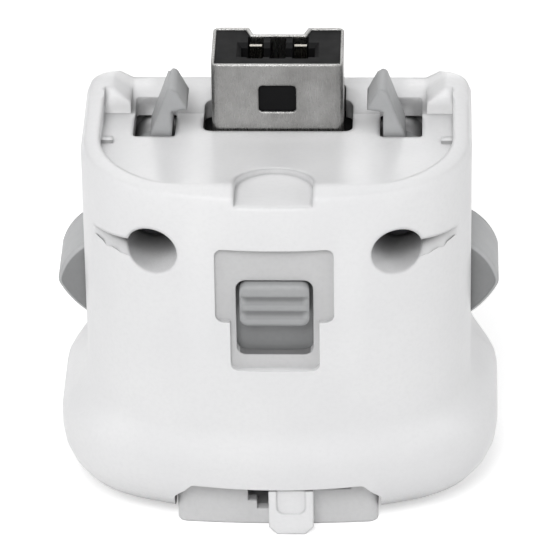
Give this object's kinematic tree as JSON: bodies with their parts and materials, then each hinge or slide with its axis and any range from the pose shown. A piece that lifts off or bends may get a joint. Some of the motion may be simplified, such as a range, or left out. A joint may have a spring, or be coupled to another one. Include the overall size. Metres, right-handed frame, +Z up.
{
  "type": "clip-on motion sensor module",
  "caption": "Clip-on motion sensor module with a plug, sprung latch levers, a lock slider, a flared base and a hinged port cover.",
  "frame": {"origin": "centre of the base, on the floor the module stands on", "axes": "+Z up along the plug, -Y towards the face with the lock slider, X across the two thumb pads"},
  "size_m": [0.0414, 0.0262, 0.0411],
  "materials": {
    "white_housing": "satin",
    "light_grey_latch": "satin",
    "grey_slider": "matte",
    "plated_steel": "satin",
    "spring_steel": "bright",
    "contact_metal": "bright",
    "black_insulator": "matte",
    "circuit_board": "satin",
    "chip_package": "matte"
  },
  "bodies": {
    "housing": {"front_shell": "white_housing", "rear_shell": "white_housing", "plug_shell": "plated_steel", "plug_insulator": "black_insulator", "plug_contact_1": "contact_metal", "plug_contact_2": "contact_metal", "plug_contact_3": "contact_metal", "plug_contact_4": "contact_metal", "plug_contact_5": "contact_metal", "main_board": "circuit_board", "gyro_chip_left": "chip_package", "gyro_chip_right": "chip_package", "controller_chip": "chip_package", "port_shell": "plated_steel", "port_insulator": "black_insulator", "port_contact_1": "contact_metal", "port_contact_2": "contact_metal", "port_contact_3": "contact_metal", "port_contact_4": "contact_metal", "port_contact_5": "contact_metal", "port_contact_6": "contact_metal", "housing_screw_left": "spring_steel", "housing_screw_right": "spring_steel", "cover_hinge_pin": "spring_steel", "right_latch_spring": "spring_steel", "left_latch_spring": "spring_steel"},
    "right_latch": {"right_latch": "light_grey_latch"},
    "left_latch": {"left_latch": "light_grey_latch"},
    "lock_slider": {"lock_slider": "grey_slider"},
    "port_cover": {"port_cover": "white_housing"}
  },
  "joints": [
    {"name": "right_latch_pivot", "type": "hinge", "parent": "housing", "child": "right_latch", "pos_m": [0.0112, 0.00475, 0.0297], "axis": [0, 1, 0], "range_deg": [0, 10], "stiffness_Nm_per_rad": 0.03, "springref_deg": -5.73, "deforming": ["right_latch_spring"]},
    {"name": "left_latch_pivot", "type": "hinge", "parent": "housing", "child": "left_latch", "pos_m": [-0.0112, 0.00475, 0.0297], "axis": [0, -1, 0], "range_deg": [0, 10], "stiffness_Nm_per_rad": 0.03, "springref_deg": -5.73, "deforming": ["left_latch_spring"]},
    {"name": "lock_slide", "type": "slide", "parent": "housing", "child": "lock_slider", "axis": [0, 0, -1], "range_m": [0, 0.003]},
    {"name": "cover_hinge", "type": "hinge", "parent": "housing", "child": "port_cover", "pos_m": [0, 0.0051, 0.0019], "axis": [1, 0, 0], "range_deg": [0, 95]}
  ]
}
